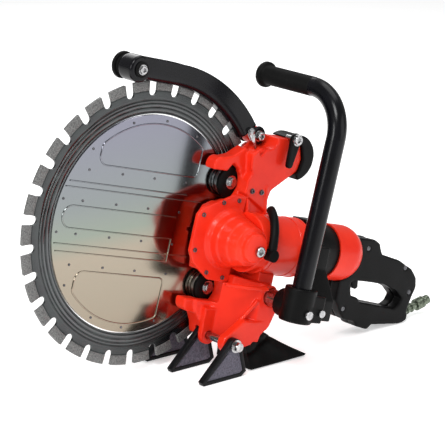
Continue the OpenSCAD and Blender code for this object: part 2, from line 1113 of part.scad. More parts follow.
module blade_guard() {
    half = guard_w / 2;
    color([0.08, 0.08, 0.08]) place()
        difference() {
            union() {
                across(-half, half) {
                    guard_band(cheek_r, guard_r);
                    difference() {
                        dot(pivot_x, pivot_z, 12);
                        circle(r = cheek_r, $fn = 180);
                    }
                    dot(nose_x, nose_z, 16);
                }
            }
            across(-half + guard_t, half - guard_t) {
                difference() {
                    circle(r = guard_r - guard_t, $fn = 180);
                    translate([-400, -200])
                        square([400, 400]);
                }
                translate([nose_x - 18, 0])
                    square([-nose_x + 18.01, guard_r - guard_t]);
                dot(pivot_x, pivot_z, 30);
            }
            bar_y(pivot_x, pivot_z, -20, 20, bolt_r + fit_gap);
            bar_y(nose_x, nose_z, -20, 20, 8);
            bar_y(latch_x, latch_z, -20, 0, pin_r);
        }
}

module guard_grip() {
    half = guard_w / 2;
    color([0.05, 0.05, 0.05]) place() {
        bar_y(nose_x, nose_z, -half, half, 8);
        bar_y(nose_x, nose_z, half, half + 6, 12.5);
        bar_y(nose_x, nose_z, half + 5, half + 12, 16.5);
        bar_y(nose_x, nose_z, -half - 2.5, -half, 9);
        hex_y(nose_x, nose_z, -half - 6, -half - 2.5, 6);
    }
}

module guard_bolt() {
    half = guard_w / 2;
    color("silver") place() {
        bar_y(pivot_x, pivot_z, -half - 3, half + 3, bolt_r);
        bar_y(pivot_x, pivot_z, -half - 2.5, -half - free_gap, 6.8);
        hex_y(pivot_x, pivot_z, -half - 7, -half - 2.5, 6.2);
        hex_y(pivot_x, pivot_z, half + free_gap, half + 5, 7);
    }
}

module guard_latch() {
    half = guard_w / 2;
    color("gainsboro") place()
        difference() {
            across(-half - 3.3, -half - free_gap)
                hull() {
                    dot(latch_x, latch_z, 4.6);
                    dot(latch_x + 5, latch_z - 8, 3.2);
                    dot(latch_x + 14, latch_z - 20, 0.8);
                }
            bar_y(latch_x, latch_z, -40, 0, pin_r + fit_gap);
        }
}

module latch_pin() {
    half = guard_w / 2;
    color("silver") place() {
        bar_y(latch_x, latch_z, -half - 4, -half + guard_t, pin_r);
        bar_y(latch_x, latch_z, -half - 5, -half - 3.6, pin_r + 1.5);
    }
}

// ---- blade tension ----

module tension_cap() {
    color([0.06, 0.06, 0.06]) place()
        difference() {
            across(-40, -3)
                difference() {
                    intersection() {
                        dot(194, 111, 29);
                        polygon([[186, 110], [170, 150], [240, 160], [240, 88], [204, 82]]);
                    }
                    lobe_outline();
                }
            bar_y(lever_x, lever_z, -41, -28, bolt_r);
        }
}

module tension_lever() {
    color([0.1, 0.1, 0.1]) place()
        difference() {
            across(-48, -42)
                hull() {
                    dot(lever_x, lever_z, 8);
                    dot(lever_x - 2, lever_z - 32, 4.5);
                }
            bar_y(lever_x, lever_z, -60, 0, bolt_r + fit_gap);
        }
}

// ---- claws ----

module claw_outline() {
    difference() {
        union() {
            dot(claw_x, claw_z, 9);
            polygon([[108, -127], [74, floor_at(74) + 4.5], [77, floor_at(77)],
                     [135, floor_at(135)], [141, -152], [121, -116]]);
        }
        dot(claw_x, claw_z, claw_pin_r + fit_gap);
    }
}

module claw(y0) {
    color([0.1, 0.1, 0.1]) place()
        across(y0, y0 + claw_t)
            claw_outline();
}

module near_claw() {
    claw(-88);
}

module middle_claw() {
    claw(-28);
}

module far_claw() {
    claw(21);
}

module claw_pins() {
    color("silver") place() {
        bar_y(claw_x, claw_z, -92, -14, claw_pin_r);
        bar_y(claw_x, claw_z, 7, 34, claw_pin_r);
    }
}

module claw_nuts() {
    color("silver") place()
        difference() {
            union() {
                bar_y(claw_x, claw_z, -90.5, -88.3, 8);
                hex_y(claw_x, claw_z, -96, -90.5, 7);
                bar_y(claw_x, claw_z, 30.3, 32, 8);
                hex_y(claw_x, claw_z, 32, 37, 7);
            }
            bar_y(claw_x, claw_z, -92, 34, claw_pin_r);
        }
}

// ---- splash guard ----

module splash_guard() {
    color([0.07, 0.07, 0.07]) place()
        hull() {
            translate([150, -60, -118])
                cube([34, 66, 12]);
            across(-80, -78)
                polygon([[158, floor_at(158)], [246, floor_at(246)], [246, floor_at(246) + 5],
                         [158, floor_at(158) + 10]]);
            across(-30, -10)
                polygon([[160, floor_at(160)], [230, floor_at(230)], [230, floor_at(230) + 4],
                         [160, floor_at(160) + 8]]);
        }
}

ring_blade();
diamond_segments();
near_disc_sheet();
far_disc_sheet();
disc_spacer();
disc_rivets();
near_casting();
far_casting();
gear_cover();
cover_screws();
casting_bolts();
near_roller_arms();
far_roller_arms();
upper_near_roller();
upper_far_roller();
lower_near_roller();
lower_far_roller();
roller_bolts();
drive_wheel();
drive_shaft();
bevel_gear();
drive_bearings();
bevel_pinion();
motor_shaft();
motor_bearings();
motor_drum();
motor_body();
rotor_gear();
idler_gear();
rear_drum();
valve_spool();
rear_handle_near();
rear_handle_far();
handle_screws();
trigger();
trigger_lock();
handle_pins();
hose_coupler();
coupler_sleeve();
braided_hose();
water_hose();
handle_stay();
stub_bar();
handle_clamp();
clamp_bolts();
front_handle_tube();
front_grip();
blade_guard();
guard_grip();
guard_bolt();
guard_latch();
latch_pin();
tension_cap();
tension_lever();
near_claw();
middle_claw();
far_claw();
claw_pins();
claw_nuts();
splash_guard();
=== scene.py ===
import json
import math

import bmesh
import bpy
from mathutils import Matrix, Vector

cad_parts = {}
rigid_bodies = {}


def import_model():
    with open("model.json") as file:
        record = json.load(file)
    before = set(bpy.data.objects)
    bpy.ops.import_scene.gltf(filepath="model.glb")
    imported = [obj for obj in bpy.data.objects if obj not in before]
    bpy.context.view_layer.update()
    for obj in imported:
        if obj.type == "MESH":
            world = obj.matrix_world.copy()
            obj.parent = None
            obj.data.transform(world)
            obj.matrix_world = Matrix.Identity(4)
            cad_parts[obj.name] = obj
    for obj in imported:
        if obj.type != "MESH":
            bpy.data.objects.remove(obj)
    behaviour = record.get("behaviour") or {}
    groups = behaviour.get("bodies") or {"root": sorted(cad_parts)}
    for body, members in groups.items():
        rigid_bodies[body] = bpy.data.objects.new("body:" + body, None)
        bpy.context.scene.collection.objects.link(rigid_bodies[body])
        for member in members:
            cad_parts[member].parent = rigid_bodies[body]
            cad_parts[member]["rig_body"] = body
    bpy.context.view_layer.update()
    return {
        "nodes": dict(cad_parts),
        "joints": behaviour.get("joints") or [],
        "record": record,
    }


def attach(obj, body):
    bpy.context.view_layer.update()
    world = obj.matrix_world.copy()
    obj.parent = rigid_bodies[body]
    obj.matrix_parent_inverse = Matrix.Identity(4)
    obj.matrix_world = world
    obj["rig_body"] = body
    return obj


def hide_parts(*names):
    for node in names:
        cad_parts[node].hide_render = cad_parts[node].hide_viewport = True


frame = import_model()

# Shapes are built in the saw frame, in millimetres: the blade turns about Y at its
# origin, X runs rearwards along the motor, Z is up and -Y is the operator's side.
# SAW carries them into the row frame, in metres.
JOINTS = {joint["name"]: joint for joint in frame["joints"]}
MM = 0.001
BLADE = Vector(JOINTS["blade_spin"]["pos_m"])
EX = Vector(JOINTS["motor_spin"]["axis"]).normalized()
EY = Vector((0, 1, 0))
EZ = EX.cross(EY)
SAW = (Matrix.Translation(BLADE)
       @ Matrix((EX, EY, EZ)).transposed().to_4x4()
       @ Matrix.Scale(MM, 4))
TO_SAW = SAW.inverted()
NEAR = Vector((0, -1, 0))


# ---- reading the frame ----

def spot(joint):
    """Where a joint sits, in the saw frame."""
    return TO_SAW @ Vector(JOINTS[joint]["pos_m"])


def span(node):
    """Lowest and highest corner of a CAD node in the saw frame."""
    points = [TO_SAW @ v.co for v in frame["nodes"][node].data.vertices]
    lo = Vector([min(p[i] for p in points) for i in range(3)])
    hi = Vector([max(p[i] for p in points) for i in range(3)])
    return lo, hi


def from_cad(*nodes):
    """A clean copy of CAD nodes in the saw frame, with flat faces made whole."""
    bm = bmesh.new()
    for node in nodes:
        mesh = frame["nodes"][node].data.copy()
        mesh.transform(TO_SAW)
        bm.from_mesh(mesh)
        bpy.data.meshes.remove(mesh)
    bmesh.ops.remove_doubles(bm, verts=bm.verts, dist=0.003)
    bmesh.ops.dissolve_limit(bm, angle_limit=math.radians(0.6), verts=bm.verts,
                             edges=bm.edges)
    return bm


# ---- shapes ----

def fillet(points, radius, steps=5):
    """Rounds the corners of a closed outline. A point may carry its own radius."""
    out = []
    count = len(points)
    for i, point in enumerate(points):
        r = point[2] if len(point) > 2 else radius
        a = Vector(points[i - 1][:2])
        b = Vector(point[:2])
        c = Vector(points[(i + 1) % count][:2])
        u, w = a - b, c - b
        reach = 0.48 * min(u.length, w.length)
        u.normalize()
        w.normalize()
        half = u.angle(w) / 2
        if r <= 0 or half > 1.53:
            out.append(b)
            continue
        d = min(r / math.tan(half), reach)
        r = d * math.tan(half)
        centre = b + (u + w).normalized() * (r / math.sin(half))
        p0, p1 = b + u * d - centre, b + w * d - centre
        a0, a1 = math.atan2(p0.y, p0.x), math.atan2(p1.y, p1.x)
        turn_by = (a1 - a0 + math.pi) % (2 * math.pi) - math.pi
        for k in range(steps + 1):
            a = a0 + turn_by * k / steps
            out.append(centre + r * Vector((math.cos(a), math.sin(a))))
    return out


def arc(cx, cz, r, a0, a1, steps=24):
    """Points on an arc in X and Z, between two angles in degrees."""
    out = []
    for k in range(steps + 1):
        a = math.radians(a0 + (a1 - a0) * k / steps)
        out.append((cx + r * math.cos(a), cz + r * math.sin(a)))
    return out


def plate(bm, outline, y0, y1):
    """A flat solid between two Y positions; its outline is in X and Z."""
    lo = [bm.verts.new((p[0], y0, p[1])) for p in outline]
    hi = [bm.verts.new((p[0], y1, p[1])) for p in outline]
    near = bm.faces.new(lo)
    far = bm.faces.new(list(reversed(hi)))
    for i in range(len(lo)):
        bm.faces.new((lo[i - 1], hi[i - 1], hi[i], lo[i]))
    return near, far


def bridge(bm, a, b):
    """Faces between two rings of points; either ring may be a single point."""
    if len(a) == 1 and len(b) == 1:
        return
    n = max(len(a), len(b))
    for i in range(n):
        j = (i + 1) % n
        if len(a) == 1:
            bm.faces.new((a[0], b[i], b[j]))
        elif len(b) == 1:
            bm.faces.new((a[i], b[0], a[j]))
        else:
            bm.faces.new((a[i], b[i], b[j], a[j]))


def turn(bm, at, axis, profile, n=48):
    """Turns (distance, radius) pairs about an axis. A pair marked "hex" has six sides."""
    axis = Vector(axis).normalized()
    side = axis.orthogonal().normalized()
    up = axis.cross(side)
    rings = []
    for step in profile:
        d, r = step[0], step[1]
        centre = Vector(at) + axis * d
        if r <= 0:
            rings.append([bm.verts.new(centre)])
            continue
        ring = []
        for i in range(n):
            a = 2 * math.pi * i / n
            k = 1.0
            if len(step) > 2:
                k = math.cos(math.pi / 6) / math.cos(a % (math.pi / 3) - math.pi / 6)
            ring.append(bm.verts.new(centre + (side * math.cos(a) + up * math.sin(a)) * r * k))
        rings.append(ring)
    for a, b in zip(rings, rings[1:]):
        bridge(bm, a, b)


def sweep(bm, path, section, side=None, closed=False):
    """Sweeps a closed section, in (normal, side) offsets, along a path of points."""
    path = [Vector(p) for p in path]
    last = len(path) - 1
    rings = []
    ref = Vector(side) if side else None
    for i, p in enumerate(path):
        ahead = path[(i + 1) % len(path)] if closed or i < last else p
        behind = path[i - 1] if closed or i > 0 else p
        t = (ahead - behind).normalized()
        if ref is None:
            ref = t.orthogonal()
        b = (ref - t * ref.dot(t)).normalized()
        if side is None:
            ref = b
        n = t.cross(b)
        rings.append([bm.verts.new(p + n * s[0] + b * s[1]) for s in section])
    for a, b in zip(rings, rings[1:]):
        bridge(bm, a, b)
    if closed:
        bridge(bm, rings[-1], rings[0])
    else:
        bm.faces.new(list(reversed(rings[0])))
        bm.faces.new(rings[-1])


def circle_section(r, n=24):
    """A round section for sweep."""
    return [(r * math.cos(2 * math.pi * i / n), r * math.sin(2 * math.pi * i / n))
            for i in range(n)]


def socket_head(bm, at, axis, r, h):
    """A socket cap head on a washer, its key hole towards the axis direction."""
    turn(bm, at, axis, [(0, 0), (0, r * 1.25), (0.8, r * 1.25), (0.8, r), (h - 0.8, r),
                        (h - 0.2, r * 0.94), (h, r * 0.86), (h, r * 0.6),
                        (h - 0.3, r * 0.56, "hex"), (h * 0.35, r * 0.56, "hex"),
                        (h * 0.3, 0)])


def hex_head(bm, at, axis, r, h):
    """A hexagon head or nut, chamfered, on a washer."""
    turn(bm, at, axis, [(0, 0), (0, r * 1.3), (1.0, r * 1.3), (1.0, r, "hex"),
                        (h - 1.0, r, "hex"), (h - 0.2, r * 0.88), (h, r * 0.8), (h, 0)])


# ---- pieces ----

def make(name, bm, nodes, materials, slot, bevel=0.0, segments=2, voxel=0.0, relax=0,
         sharp=38):
    """Turns a saw-frame mesh into a finished piece that stands for CAD nodes."""
    bmesh.ops.recalc_face_normals(bm, faces=bm.faces)
    mesh = bpy.data.meshes.new(name)
    for material in materials:
        mesh.materials.append(material)
    bm.to_mesh(mesh)
    bm.free()
    draft = bpy.data.objects.new(name + "_draft", mesh)
    bpy.context.scene.collection.objects.link(draft)
    if voxel:
        cast = draft.modifiers.new("cast", "REMESH")
        cast.mode = "VOXEL"
        cast.voxel_size = voxel
        ease = draft.modifiers.new("ease", "SMOOTH")
        ease.factor = 0.5
        ease.iterations = relax
    if bevel:
        edges = draft.modifiers.new("edges", "BEVEL")
        edges.width = bevel
        edges.segments = segments
        edges.limit_method = "ANGLE"
        edges.angle_limit = math.radians(32)
    graph = bpy.context.evaluated_depsgraph_get()
    done = bpy.data.meshes.new_from_object(draft.evaluated_get(graph))
    bpy.data.objects.remove(draft)
    bpy.data.meshes.remove(mesh)
    done.name = name
    done.transform(SAW)
    done.shade_smooth()
    done.set_sharp_from_angle(angle=math.radians(180 if voxel else sharp))
    if not done.materials:
        for material in materials:
            done.materials.append(material)
    piece = bpy.data.objects.new(name, done)
    bpy.context.scene.collection.objects.link(piece)
    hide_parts(*nodes)
    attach(piece, frame["nodes"][nodes[0]]["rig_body"])
    return piece


# ---- materials ----

def new_tree(name):
    """A new material with its node tree and its shader."""
    material = bpy.data.materials.new(name)
    material.use_nodes = True
    tree = material.node_tree
    return material, tree, tree.nodes["Principled BSDF"]


def noise(tree, scale, detail=4.0, rough=0.55):
    """Soft noise over the object, from 0 to 1."""
    node = tree.nodes.new("ShaderNodeTexNoise")
    node.inputs["Scale"].default_value = scale
    node.inputs["Detail"].default_value = detail
    node.inputs["Roughness"].default_value = rough
    where = tree.nodes.new("ShaderNodeTexCoord").outputs["Object"]
    tree.links.new(where, node.inputs["Vector"])
    return node.outputs["Fac"]


def remap(tree, value, lo, hi, out_lo, out_hi):
    """Carries a value from one range to another."""
    node = tree.nodes.new("ShaderNodeMapRange")
    tree.links.new(value, node.inputs["Value"])
    for key, number in (("From Min", lo), ("From Max", hi), ("To Min", out_lo),
                        ("To Max", out_hi)):
        node.inputs[key].default_value = number
    return node.outputs["Result"]


def blend_colors(tree, factor, a, b):
    """Mixes two colours; each is a tuple or another node's output."""
    node = tree.nodes.new("ShaderNodeMix")
    node.data_type = "RGBA"
    tree.links.new(factor, node.inputs["Factor"])
    for key, color in (("A", a), ("B", b)):
        socket = [s for s in node.inputs if s.name == key and s.type == "RGBA"][0]
        if isinstance(color, tuple):
            socket.default_value = (*color, 1)
        else:
            tree.links.new(color, socket)
    return [s for s in node.outputs if s.type == "RGBA"][0]


def color_ramp(tree, factor, stops):
    """A colour that follows a value through (place, colour) stops."""
    ramp = tree.nodes.new("ShaderNodeValToRGB")
    tree.links.new(factor, ramp.inputs["Fac"])
    elements = ramp.color_ramp.elements
    while len(elements) < len(stops):
        elements.new(0.5)
    for element, (place, color) in zip(elements, stops):
        element.position = place
        element.color = (*color, 1)
    return ramp.outputs["Color"]


def add_bump(tree, shader, height, strength, distance):
    """Lets a height value raise the surface's shading."""
    node = tree.nodes.new("ShaderNodeBump")
    node.inputs["Strength"].default_value = strength
    node.inputs["Distance"].default_value = distance
    tree.links.new(height, node.inputs["Height"])
    tree.links.new(node.outputs["Normal"], shader.inputs["Normal"])


def surface(name, dark, light, rough, metal=0.0, coat=0.0, coat_rough=0.08, blotch=35.0,
            grain=900.0, bump=0.15, depth=0.0002, specular=0.5):
    """A surface whose colour drifts softly and whose finish has a fine grain."""
    material, tree, shader = new_tree(name)
    drift = noise(tree, blotch)
    fine = noise(tree, grain, detail=3.0)
    tree.links.new(blend_colors(tree, remap(tree, drift, 0.3, 0.7, 0, 1), dark, light),
                   shader.inputs["Base Color"])
    tree.links.new(remap(tree, fine, 0.25, 0.75, rough * 0.8, rough * 1.2),
                   shader.inputs["Roughness"])
    shader.inputs["Metallic"].default_value = metal
    shader.inputs["Coat Weight"].default_value = coat
    shader.inputs["Coat Roughness"].default_value = coat_rough
    shader.inputs["Specular IOR Level"].default_value = specular
    add_bump(tree, shader, fine, bump, depth)
    return material


def blade_radius(tree):
    """Distance from the blade's axis, in metres."""
    where = tree.nodes.new("ShaderNodeTexCoord").outputs["Object"]
    shift = tree.nodes.new("ShaderNodeVectorMath")
    shift.operation = "SUBTRACT"
    shift.inputs[1].default_value = BLADE
    tree.links.new(where, shift.inputs[0])
    flat = tree.nodes.new("ShaderNodeVectorMath")
    flat.operation = "MULTIPLY"
    flat.inputs[1].default_value = (1, 0, 1)
    tree.links.new(shift.outputs[0], flat.inputs[0])
    length = tree.nodes.new("ShaderNodeVectorMath")
    length.operation = "LENGTH"
    tree.links.new(flat.outputs[0], length.inputs[0])
    return length.outputs["Value"]


def rings_of(tree, radius, per_metre):
    """Fine turning marks: noise that depends only on the radius."""
    node = tree.nodes.new("ShaderNodeTexNoise")
    node.noise_dimensions = "1D"
    node.inputs["Scale"].default_value = per_metre
    node.inputs["Detail"].default_value = 3.0
    tree.links.new(radius, node.inputs["W"])
    return node.outputs["Fac"]


def ring_steel():
    """Turned blade steel: painted shade as dark bands where the grooves run, a painted
    highlight as a bright band at the inner rim, and a dark weld line.
    """
    material, tree, shader = new_tree("ring_steel")
    radius = blade_radius(tree)
    marks = rings_of(tree, radius, 900)
    # Bands by radius: the near-black lines are painted shade in the grooves, the bright band
    # at the inner edge is a painted highlight, and the dark line next to the segments is the
    # weld.
    painted_light_and_weld_bands = ((0.0, 0.50), (0.04, 0.12), (0.10, 0.012), (0.16, 0.14), (0.28, 0.014),
              (0.34, 0.16), (0.43, 0.014), (0.50, 0.12), (0.56, 0.02), (0.62, 0.075),
              (0.90, 0.06), (0.94, 0.012), (0.97, 0.13))
    groove_shade_and_rim_glint = color_ramp(tree, remap(tree, radius, 0.134, 0.164, 0, 1),
                         [(place, (shade, shade * 1.02, shade * 1.05))
                          for place, shade in painted_light_and_weld_bands])
    worn = blend_colors(tree, remap(tree, noise(tree, 60), 0.35, 0.75, 0, 0.35),
                        groove_shade_and_rim_glint, (0.09, 0.11, 0.105))
    tree.links.new(worn, shader.inputs["Base Color"])
    tree.links.new(remap(tree, marks, 0.3, 0.7, 0.20, 0.36), shader.inputs["Roughness"])
    shader.inputs["Metallic"].default_value = 1.0
    shader.inputs["Anisotropic"].default_value = 0.75
    tangent = tree.nodes.new("ShaderNodeTangent")
    tangent.direction_type = "RADIAL"
    tangent.axis = "Y"
    tree.links.new(tangent.outputs["Tangent"], shader.inputs["Tangent"])
    add_bump(tree, shader, marks, 0.25, 0.0002)
    return material


def disc_steel():
    """Bright rolled sheet with a painted reflection: its colour runs with height, warm below
    and bluish above, as mirrored surroundings would; it also ripples slightly.
    """
    material, tree, shader = new_tree("disc_steel")
    where = tree.nodes.new("ShaderNodeTexCoord").outputs["Object"]
    split = tree.nodes.new("ShaderNodeSeparateXYZ")
    tree.links.new(where, split.inputs[0])
    # Painted reflection: the base colour follows height and stands in for the surroundings
    # that the polished sheet mirrors.
    height = remap(tree, split.outputs["Z"], BLADE.z - 0.13, BLADE.z + 0.13, 0, 1)
    stops = ((0.0, (0.30, 0.26, 0.20)), (0.40, (0.33, 0.285, 0.225)),
             (0.50, (0.24, 0.27, 0.23)), (0.64, (0.22, 0.24, 0.24)),
             (1.0, (0.22, 0.22, 0.27)))
    tree.links.new(color_ramp(tree, height, stops), shader.inputs["Base Color"])
    fine = noise(tree, 1400, detail=2.0)
    tree.links.new(remap(tree, fine, 0.3, 0.7, 0.10, 0.17), shader.inputs["Roughness"])
    shader.inputs["Metallic"].default_value = 1.0
    add_bump(tree, shader, noise(tree, 14, detail=1.0), 0.25, 0.002)
    return material


def braid():
    """Woven cover of the hose: two crossing sets of strands."""
    material, tree, shader = new_tree("hose_braid")
    where = tree.nodes.new("ShaderNodeTexCoord").outputs["Object"]
    waves = []
    for lean in (0.8, -0.8):
        turned = tree.nodes.new("ShaderNodeMapping")
        turned.inputs["Rotation"].default_value = (lean, lean, lean)
        tree.links.new(where, turned.inputs["Vector"])
        wave = tree.nodes.new("ShaderNodeTexWave")
        wave.inputs["Scale"].default_value = 260
        tree.links.new(turned.outputs["Vector"], wave.inputs["Vector"])
        waves.append(wave.outputs["Fac"])
    weave = tree.nodes.new("ShaderNodeMath")
    weave.operation = "MAXIMUM"
    tree.links.new(waves[0], weave.inputs[0])
    tree.links.new(waves[1], weave.inputs[1])
    shade = remap(tree, weave.outputs[0], 0.5, 1.0, 0, 1)
    tree.links.new(blend_colors(tree, shade, (0.03, 0.04, 0.03), (0.34, 0.38, 0.32)),
                   shader.inputs["Base Color"])
    shader.inputs["Roughness"].default_value = 0.5
    add_bump(tree, shader, weave.outputs[0], 0.6, 0.0006)
    return material


RED = surface("red_paint", (0.70, 0.018, 0.006), (0.84, 0.032, 0.010), 0.34, coat=0.14,
              coat_rough=0.06, blotch=18, grain=420, bump=0.10, depth=0.0004,
              specular=0.16)
BLACK_GLOSS = surface("black_gloss", (0.0012, 0.0012, 0.0018), (0.003, 0.003, 0.005), 0.22,
                      specular=0.22, blotch=30, grain=700, bump=0.08)
BLACK_SATIN = surface("black_satin", (0.0015, 0.0015, 0.0015), (0.004, 0.004, 0.004), 0.42,
                      blotch=40, grain=1100, bump=0.25, specular=0.10)
PLASTIC = surface("black_plastic", (0.0015, 0.0015, 0.0015), (0.004, 0.004, 0.0045), 0.40,
                  blotch=30, grain=1600, bump=0.3, specular=0.10)
RUBBER = surface("black_rubber", (0.0015, 0.0015, 0.0015), (0.004, 0.004, 0.004), 0.5,
                 blotch=45, grain=1300, bump=0.35, specular=0.10)
CLAW_RIM = surface("claw_rim", (0.002, 0.002, 0.0025), (0.007, 0.007, 0.009), 0.36,
                   blotch=60, grain=800, bump=0.4, depth=0.0004, specular=0.14)
CLAW_FACE = surface("claw_face", (0.03, 0.028, 0.042), (0.12, 0.11, 0.15), 0.6, blotch=420,
                    grain=1100, bump=0.8, depth=0.0006)
GRIT = surface("segment_grit", (0.05, 0.05, 0.05), (0.24, 0.24, 0.235), 0.55, metal=0.4,
               blotch=650, grain=1500, bump=0.8, depth=0.0005)
BOLT = surface("bolt_steel", (0.28, 0.28, 0.29), (0.60, 0.60, 0.60), 0.20, metal=1.0,
               blotch=220, grain=1500, bump=0.1)
DARK_STEEL = surface("screw_steel", (0.05, 0.05, 0.055), (0.16, 0.16, 0.17), 0.35,
                     metal=0.9, blotch=260, grain=1500, bump=0.15)
STEEL = surface("gear_steel", (0.30, 0.30, 0.31), (0.46, 0.46, 0.47), 0.32, metal=1.0,
                blotch=90, grain=1200, bump=0.15)
ALLOY = surface("spacer_alloy", (0.40, 0.40, 0.41), (0.5, 0.5, 0.51), 0.4, metal=1.0)
CHROME = surface("chrome", (0.62, 0.62, 0.64), (0.80, 0.80, 0.82), 0.10, metal=1.0,
                 blotch=80, grain=600, bump=0.03)
WHEEL = surface("drive_rubber", (0.03, 0.028, 0.026), (0.07, 0.066, 0.06), 0.6)
COUPLER = surface("coupler_steel", (0.05, 0.065, 0.045), (0.26, 0.30, 0.23), 0.34,
                  metal=0.85, blotch=300, grain=1500, bump=0.3)
RING = ring_steel()
DISC = disc_steel()
BRAID = braid()

# The finish that each of the record's slots takes.
FINISH = {
    "ring_steel": RING, "segment_grit": GRIT, "disc_steel": DISC, "spacer_alloy": ALLOY,
    "rivet_steel": DARK_STEEL, "red_paint": RED, "screw_steel": DARK_STEEL,
    "bolt_steel": BOLT, "arm_paint": BLACK_SATIN, "roller_steel": STEEL,
    "drive_rubber": WHEEL, "gear_steel": STEEL, "bearing_steel": CHROME,
    "motor_black": BLACK_SATIN, "handle_plastic": PLASTIC, "trigger_plastic": PLASTIC,
    "coupler_steel": COUPLER, "hose_braid": BRAID, "hose_rubber": RUBBER,
    "tube_paint": BLACK_GLOSS, "grip_rubber": RUBBER, "guard_paint": BLACK_GLOSS,
    "latch_steel": BOLT, "cap_plastic": PLASTIC, "claw_paint": CLAW_RIM,
    "splash_rubber": RUBBER,
}
SLOT = {part["node"]: part["material_slot"] for part in frame["record"]["subparts"]}
for node, obj in frame["nodes"].items():
    obj.data.materials.clear()
    obj.data.materials.append(FINISH[SLOT[node]])


def stand_in(name, bm, node, extra=(), **how):
    """A piece for one CAD node, in that node's own finish."""
    slot = SLOT[node]
    return make(name, bm, [node], [FINISH[slot], *extra], slot, **how)


# ---- castings ----

def casting_shell():
    """The near casting with its ribs, ridges and rims, eased like a sand casting."""
    bm = from_cad("near_casting")
    rib_half = 1.7
    plate(bm, [(126, 52), (130, 52), (137, 22), (133, 22)], -39.5, -30)
    plate(bm, [(155, 70), (159, 70), (167, 34), (163, 34)], -37, -26)
    # the ridge along the top of the flare, out to the stub
    sweep(bm, [(100, -62, -52), (126, -72, -52), (156, -80, -50)],
          circle_section(rib_half * 1.6, 12))
    sweep(bm, [(120, -66, -108), (134, -70, -88), (148, -74, -66)],
          circle_section(rib_half * 1.5, 12))
    # raised rim that follows the upper lobe's edge
    lobe = [(126, -35, 88), (123, -35, 105), (136, -35, 116)]
    sweep(bm, lobe, circle_section(rib_half, 12))
    # the band turned on the drum's front end
    turn(bm, (141, spot("motor_spin").y, 0), (1, 0, 0),
         [(0, 0), (0, 37.4), (1, 37.9), (3, 37.9), (4, 37.4), (4, 0)], n=72)
    return stand_in("near_casting_shell", bm, "near_casting", voxel=1.15, relax=7)


def cover_shell():
    """The bevel-gear cover: a tapered dome turned in steps on a screwed flange."""
    split = span("gear_cover")[1].y
    axis = spot("drive_spin")
    bm = bmesh.new()
    flange = fillet([(53, -20), (53, 26), (59, 34), (108, 55), (125.5, 55), (125.5, -54),
                     (92, -53), (62, -34)], 4)
    plate(bm, flange, -38, split)
    turn(bm, (axis.x, split, axis.z), NEAR,
         [(0, 0), (0, 38), (5, 37), (8, 35.6), (10, 33.6), (17, 32.2), (19, 32), (20.5, 30.6),
          (31, 28.4), (33, 28.2), (34.5, 27), (44, 24.8), (48, 23.8), (49.5, 20), (50, 18.6),
          (56.5, 18.2), (58, 17), (58, 0)], n=96)
    return stand_in("gear_cover_shell", bm, "gear_cover", voxel=0.95, relax=5)


def drum_shell():
    """The red drum over the motor, with turned bands near its rear end."""
    lo, hi = span("motor_drum")
    long = hi.x - lo.x
    drum_r, band_r = 37, 37.7
    bm = bmesh.new()
    profile = [(0, 0), (0, drum_r)]
    for band in (long - 21, long - 6):
        profile += [(band, drum_r), (band + 0.6, band_r), (band + 3.4, band_r),
                    (band + 4, drum_r)]
    profile += [(long, 36.2), (long, 0)]
    turn(bm, (lo.x, spot("motor_spin").y, 0), (1, 0, 0), profile, n=96)
    return stand_in("motor_drum_shell", bm, "motor_drum", sharp=35)


casting_shell()
cover_shell()
drum_shell()
stand_in("far_casting_shell", from_cad("far_casting"), "far_casting", voxel=1.4, relax=7)


# ---- water disc ----

def near_sheet():
    """The near sheet of the water disc, with beads rolled round its panels."""
    base = span("near_disc_sheet")[1].y
    face = base - 1.0
    bm = from_cad("far_disc_sheet")
    bmesh.ops.translate(bm, verts=bm.verts, vec=(0, base - span("far_disc_sheet")[1].y, 0))
    bead = [(0.9 * math.cos(a * math.pi / 6), 1.2 * math.sin(a * math.pi / 6))
            for a in range(12)]
    big = 123.0
    chord_top, chord_low = 65, -63
    for chord, s in ((chord_top, 1), (chord_low, -1)):
        right = 70 if s > 0 else 52
        left = -85
        a_left = math.degrees(math.acos(left / big))
        a_right = math.degrees(math.acos(right / big))
        loop = fillet([(left, chord, 18), (left, s * big * math.sin(math.radians(a_left)), 10)]
                      + [(*p, 0) for p in arc(0, 0, big, s * (a_left - 4),
                                              s * (a_right + 3), 30)]
                      + [(right, s * big * math.sin(math.radians(a_right)), 5),
                         (right, chord, 7)], 0)
        sweep(bm, [(p[0], face, p[1]) for p in loop], bead, side=(0, 1, 0), closed=True)
    pocket = [(50, 13.5), (-108.5, 13.5)] + arc(-108.5, 0, 13.5, 90, 270, 14)[1:-1] \
        + [(-108.5, -13.5), (50, -13.5)]
    lines = [pocket, [(-126, 35), (84, 35)], [(-122, 42), (60, 42)],
             [(-126, -33), (84, -33)], [(-122, -42), (50, -42)], [(50, -13), (50, -42)]]
    for line in lines:
        fine = []
        for a, b in zip(line, line[1:]):
            fine += [Vector(a).lerp(Vector(b), k / 6) for k in range(6)]
        fine.append(Vector(line[-1]))
        sweep(bm, [(p[0], face, p[1]) for p in fine], bead, side=(0, 1, 0))
    return stand_in("near_sheet_pressed", bm, "near_disc_sheet", sharp=50)


near_sheet()
stand_in("blade_ring", from_cad("ring_blade"), "ring_blade", bevel=0.25, segments=1)
stand_in("blade_segments", from_cad("diamond_segments"), "diamond_segments", bevel=0.5)


# ---- hardware ----

def claw_hardware():
    """The nuts at both ends of the claws' hinge pins."""
    bm = bmesh.new()
    axis = spot("near_claw_swing")
    near, far = span("claw_nuts")
    hex_head(bm, (axis.x, near.y + 7.5, axis.z), NEAR, 6.2, 7.4)
    hex_head(bm, (axis.x, far.y - 6.5, axis.z), -NEAR, 7.4, 6.4)
    return stand_in("claw_nuts_turned", bm, "claw_nuts", sharp=30)


